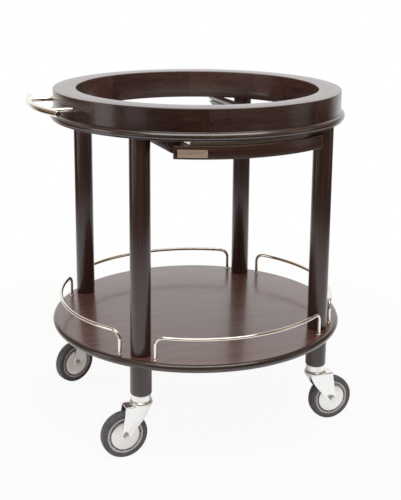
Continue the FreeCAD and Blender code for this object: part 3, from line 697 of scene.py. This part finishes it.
def stem_outline(corner):
    """Stem in the leg, collar under it, and the kingpin with its riveted end under the fork."""
    foot, top = span("caster_stem_" + corner, "z")
    collar_top = span("leg_" + corner, "z")[0]
    collar_foot = span("swivel_race_" + corner, "z")[1]
    flange_r = half_width("caster_stem_" + corner)
    collar_r, flange_t = 21.5 * MM, 1.7 * MM
    rivet_r, pin_r = 10 * MM, 6 * MM
    profile = [(0, foot), (rivet_r - 2.5 * MM, foot)]
    profile += arc((rivet_r - 2.6 * MM, foot + 2.6 * MM), 2.6 * MM, -90, 0)
    profile += [(rivet_r, foot + 3.2 * MM), (pin_r, foot + 3.2 * MM), (pin_r, collar_foot)]
    profile += arc((flange_r - flange_t / 2, collar_foot + flange_t / 2), flange_t / 2, -90, 90, 8)
    profile += arc((collar_r + 0.8 * MM, collar_foot + flange_t + 0.8 * MM), 0.8 * MM, 270, 180, 4)
    profile += arc((collar_r - 1.4 * MM, collar_top - 1.4 * MM), 1.4 * MM, 0, 90, 4)
    profile += [(pin_r, collar_top), (pin_r, top - 2 * MM), (pin_r - 1.5 * MM, top), (0, top)]
    return profile


def casters():
    for corner in CORNERS:
        swivel, wheel = caster_places(corner)
        body = "wheel_" + corner
        bm = bmesh.new()
        turn(bm, tyre_outline(), wheel, steps=144)
        finish_mesh("tread_" + corner, bm, TYRE, body, "tyre_" + corner,
                    sharp=40)
        bm = bmesh.new()
        turn(bm, hub_outline(), wheel, steps=WHEEL_STEPS)
        finish_mesh("hub_" + corner, bm, HUB, body, "wheel_hub_" + corner)

        body = "swivel_" + corner
        bm = bmesh.new()
        for side in (-1, 1):
            turn(bm, cover_outline(side), wheel, steps=WHEEL_STEPS)
        finish_mesh("hub_covers_" + corner, bm, COVER, body, "thread_guards_" + corner,
                    sharp=24)

        bm = bmesh.new()
        turn(bm, race_outline(corner), swivel, steps=WHEEL_STEPS)
        finish_mesh("ball_race_" + corner, bm, ZINC, "table", "swivel_race_" + corner)

        bm = bmesh.new()
        turn(bm, stem_outline(corner), swivel, steps=WHEEL_STEPS, closed=False)
        finish_mesh("collar_and_stem_" + corner, bm, ZINC, "table", "caster_stem_" + corner)

        eased("pressed_fork_" + corner, "caster_fork_" + corner, ZINC, body,
              0.5 * MM)
        eased("axle_nut_and_bolt_" + corner, "axle_bolt_" + corner, BOLT, body,
              0.2 * MM)


ring_wall()
ring_moulding()
shelf()
posts_and_legs()
gallery()
handle()
tray()
casters()


# ---- light, floor and camera ----------------------------------------------------------------
CAMERA_AT = Vector((-0.8296, -2.0936, 1.0818))
CAMERA_PAN = math.radians(22.43)       # from +Y towards +X
CAMERA_PITCH = math.radians(12.95)     # below the horizon
CAMERA_ROLL = math.radians(0.46)
CAMERA_LENS = 71.1                     # lens and sensor in millimetres
CAMERA_SENSOR = 36.0
CAMERA_SHIFT = -0.15

WHITE = colour(1, 1, 1)
ROOM = colour(0.25, 0.18, 0.12)        # brown room round the studio
PAPER = colour(0.86, 0.86, 0.86)       # white floor under and behind the table
BARE_FLOOR = colour(0.075, 0.045, 0.028)
BACKDROP_EDGES = (0.64, 0.90)          # cosines from straight behind the table, dark to white
BACKDROP_TOP = (0.78, 0.60)            # sines of the heights where it ends and where it is white
PAPER_EDGES = (0.5, 0.85)              # the same cosines for the paper on the floor
PAPER_REACH = (0.95, 2.3)              # in front, the paper fades out between these distances
GLOW = (0.5, 1.6, 0.94, 1.0)           # two distances, and the share of plain white seen there
MIRRORED = (0.22, 0.45, 0.3, 1.0)      # the same, for what is mirrored in the table
FLOOR_REACH = 40.0                     # from the origin to the floor's edges
LAMP_TARGET = 0.5                      # height on the table's axis that every lamp faces

# Degrees to the right of the camera, distance, height, width, depth, radiance.
LAMPS = {
    "overhead": (180, 0.3, 2.1, 1.8, 1.0, 1.3),
    "front top": (10, 0.85, 2.3, 2.4, 1.1, 3.4),
    "left panel": (-71, 2.2, 0.9, 0.7, 1.4, 1.3),
    "right panel": (80, 2.2, 0.9, 0.8, 1.4, 0.35),
    "front left panel": (-45, 2.8, 1.0, 0.8, 1.4, 0.6),
}


def camera():
    data = bpy.data.cameras.new("camera")
    data.lens = CAMERA_LENS
    data.sensor_width = CAMERA_SENSOR
    data.shift_y = CAMERA_SHIFT
    made = bpy.data.objects.new("camera", data)
    heading = Matrix.Rotation(-CAMERA_PAN, 4, "Z")
    tilt = Matrix.Rotation(math.pi / 2 - CAMERA_PITCH, 4, "X")
    roll = Matrix.Rotation(CAMERA_ROLL, 4, "Z")
    made.matrix_world = Matrix.Translation(CAMERA_AT) @ heading @ tilt @ roll
    bpy.context.scene.collection.objects.link(made)
    bpy.context.scene.camera = made


def bearing(degrees):
    """Level direction, DEGREES to the right of the way from the table to the camera."""
    to_camera = CAMERA_AT - AXIS
    angle = math.atan2(to_camera.y, to_camera.x) + math.radians(degrees)
    return Vector((math.cos(angle), math.sin(angle), 0))


def from_behind(x, y, reach):
    """Cosine between a level direction of length REACH and the way straight behind the table."""
    behind = bearing(180)
    return (x * behind.x + y * behind.y) / reach


def as_seen(tree, lit, white, directly, mirrored):
    """Shows WHITE in these shares to the camera and in reflections, and LIT besides."""
    rays = add_node(tree, "ShaderNodeLightPath").socket.node.outputs
    to_camera, glossy, through = (Wire(tree, rays[f"Is {kind} Ray"]) for kind in
                                  ("Camera", "Glossy", "Transmission"))
    share = (to_camera * directly).math("ADD", (glossy + through) * mirrored, clamp=True)
    return add_node(tree, "ShaderNodeMixShader", {0: share, 1: lit, 2: white})


def studio_world():
    """White backdrop behind the table and a brown room everywhere else."""
    world = bpy.data.worlds.new("studio")
    bpy.context.scene.world = world
    world.use_nodes = True
    tree = world.node_tree
    x, y, height = split(add_node(tree, "ShaderNodeTexCoord"))
    reach = (1.0 - height * height).math("SQRT")
    behind = from_behind(x, y, reach).ramp(*BACKDROP_EDGES) * height.ramp(*BACKDROP_TOP)
    lit = add_node(tree, "ShaderNodeBackground", {"Color": ROOM, "Strength": 1.0})
    white = add_node(tree, "ShaderNodeBackground", {"Color": WHITE, "Strength": 1.0})
    shown = as_seen(tree, lit, white, 1.0, behind)
    tree.links.new(shown.socket, tree.nodes["World Output"].inputs["Surface"])


def studio_floor():
    """White paper under and behind the table, brown floor further out."""
    bm = bmesh.new()
    bmesh.ops.create_grid(bm, x_segments=1, y_segments=1, size=FLOOR_REACH)
    mesh = bpy.data.meshes.new("floor")
    bm.to_mesh(mesh)
    bm.free()
    floor = bpy.data.objects.new("floor", mesh)
    bpy.context.scene.collection.objects.link(floor)
    surface = Surface("paper floor", Roughness=0.9, Specular_IOR_Level=0.1)
    tree = surface.tree
    x, y, _ = surface.axes()
    reach = (x * x + y * y).math("SQRT")
    behind = from_behind(x, y, reach).ramp(*PAPER_EDGES)
    paper = 1.0 - reach.ramp(*PAPER_REACH) * (1.0 - behind)
    to_camera = add_node(tree, "ShaderNodeLightPath")
    surface.feed(Base_Color=paper.math("MAXIMUM", to_camera).mix(BARE_FLOOR, PAPER))
    lit = Wire(tree, surface.shader.outputs[0])
    white = add_node(tree, "ShaderNodeEmission", {"Color": WHITE, "Strength": 1.0})
    shown = as_seen(tree, lit, white, reach.ramp(*GLOW), paper * reach.ramp(*MIRRORED))
    tree.links.new(shown.socket, tree.nodes["Material Output"].inputs["Surface"])
    mesh.materials.append(surface.material)


def softbox(name, degrees, distance, height, width, depth, radiance):
    """Soft lamp that faces the table and that the camera doesn't see."""
    at = on_axis(height).translation + bearing(degrees) * distance
    data = bpy.data.lights.new(name, "AREA")
    data.shape = "RECTANGLE"
    data.size, data.size_y = width, depth
    data.energy = radiance * math.pi * width * depth
    lamp = bpy.data.objects.new(name, data)
    away = at - on_axis(LAMP_TARGET).translation
    lamp.matrix_world = Matrix.Translation(at) @ aimed(away)
    lamp.visible_camera = False
    bpy.context.scene.collection.objects.link(lamp)


camera()
studio_world()
studio_floor()
for lamp_name, lamp_place in LAMPS.items():
    softbox(lamp_name, *lamp_place)
bpy.context.scene.view_settings.view_transform = "Standard"
